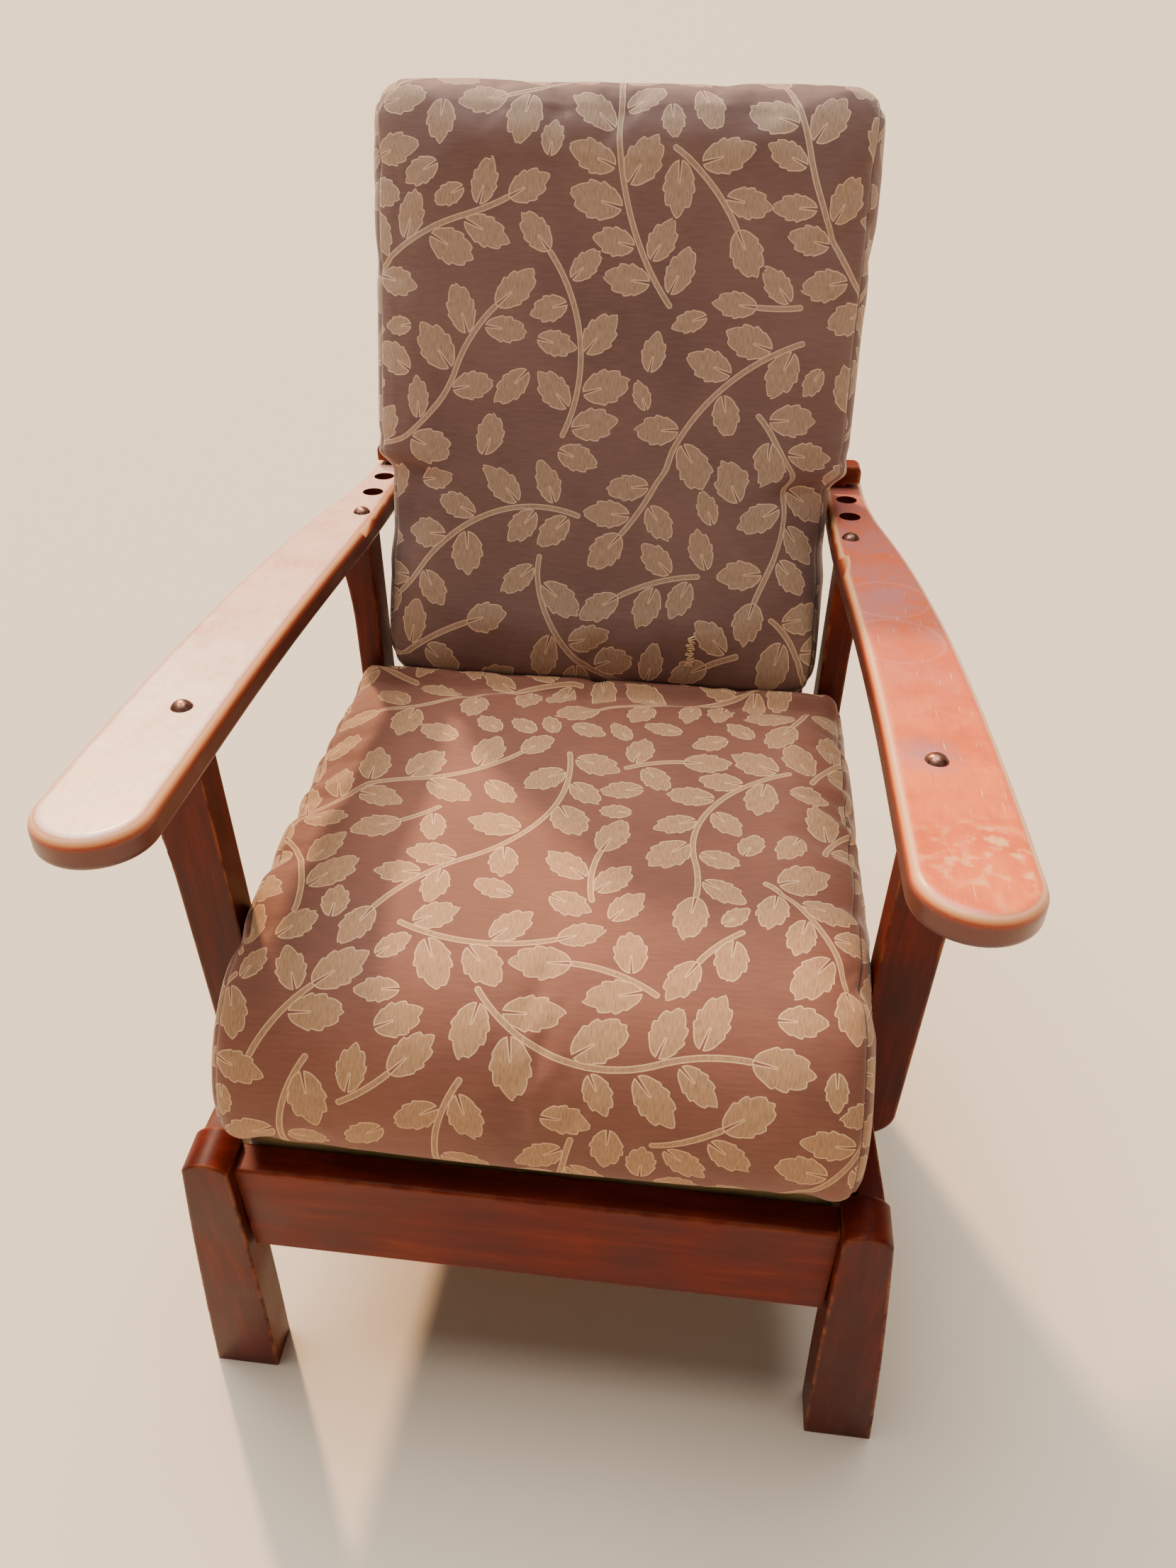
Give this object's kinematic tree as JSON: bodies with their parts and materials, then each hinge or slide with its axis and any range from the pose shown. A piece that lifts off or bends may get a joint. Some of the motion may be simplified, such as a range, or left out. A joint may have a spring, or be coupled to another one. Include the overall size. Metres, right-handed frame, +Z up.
{
  "type": "reclining armchair",
  "caption": "Wooden armchair with paddle arms, a hinged slatted back held by a loose rest bar pegged into the arms, and a loose seat cushion and back cushion.",
  "frame": {"origin": "On the floor, below the centre of the chair's width and depth.", "axes": "+Z up, the sitter faces -Y, +X to the sitter's left; X = 0 is the plane of symmetry."},
  "size_m": [0.608, 0.7699, 0.9513],
  "materials": {
    "stained_wood": "red-brown stain under worn varnish",
    "plain_wood": "unfinished hardwood",
    "upholstery": "woven, leaf pattern",
    "deck_cloth": "plain olive weave",
    "aged_bronze": "aged, dull",
    "hinge_brass": "aged, dull",
    "screw_steel": "plain"
  },
  "bodies": {
    "chair": {"arm_post_left": "stained_wood", "arm_post_right": "stained_wood", "armrest_left": "stained_wood", "armrest_right": "stained_wood", "corner_block_left": "plain_wood", "corner_block_right": "plain_wood", "deck_cover": "deck_cloth", "deck_front_bar": "plain_wood", "deck_rear_bar": "plain_wood", "deck_side_bar_left": "plain_wood", "deck_side_bar_right": "plain_wood", "deck_slat_1": "plain_wood", "deck_slat_2": "plain_wood", "deck_slat_3": "plain_wood", "deck_slat_4": "plain_wood", "deck_slat_5": "plain_wood", "dome_bolts": "aged_bronze", "front_leg_left": "stained_wood", "front_leg_right": "stained_wood", "front_rail": "stained_wood", "hinge_base_left": "hinge_brass", "hinge_base_right": "hinge_brass", "hinge_pin_left": "screw_steel", "hinge_pin_right": "screw_steel", "post_screws": "screw_steel", "rail_hinge_screws": "screw_steel", "rear_leg_left": "stained_wood", "rear_leg_right": "stained_wood", "rear_rail": "stained_wood", "seat_cleat_left": "plain_wood", "seat_cleat_right": "plain_wood", "seat_cushion": "upholstery", "side_rail_left": "stained_wood", "side_rail_right": "stained_wood"},
    "back": {"back_stile_left": "stained_wood", "back_stile_right": "stained_wood", "back_top_rail": "stained_wood", "back_bottom_rail": "stained_wood", "back_slat_1": "stained_wood", "back_slat_2": "stained_wood", "back_slat_3": "stained_wood", "back_slat_4": "stained_wood", "hinge_flap_left": "hinge_brass", "hinge_flap_right": "hinge_brass", "back_hinge_screws": "screw_steel", "back_cushion": "upholstery"},
    "bar": {"rest_bar": "stained_wood", "bar_peg_left": "stained_wood", "bar_peg_right": "stained_wood"}
  },
  "joints": [
    {"name": "back_hinge", "type": "hinge", "parent": "chair", "child": "back", "pos_m": [0, 0.17031, 0.313], "axis": [1, 0, 0], "range_deg": [0, 20]},
    {"name": "rest_bar_lift", "type": "slide", "parent": "chair", "child": "bar", "axis": [0, 0.0993, 0.9951], "range_m": [0, 0.04]}
  ],
  "couplings": [
    {"joint": "rest_bar_lift", "follows": "back_hinge", "m_per_rad": 0.1145}
  ]
}
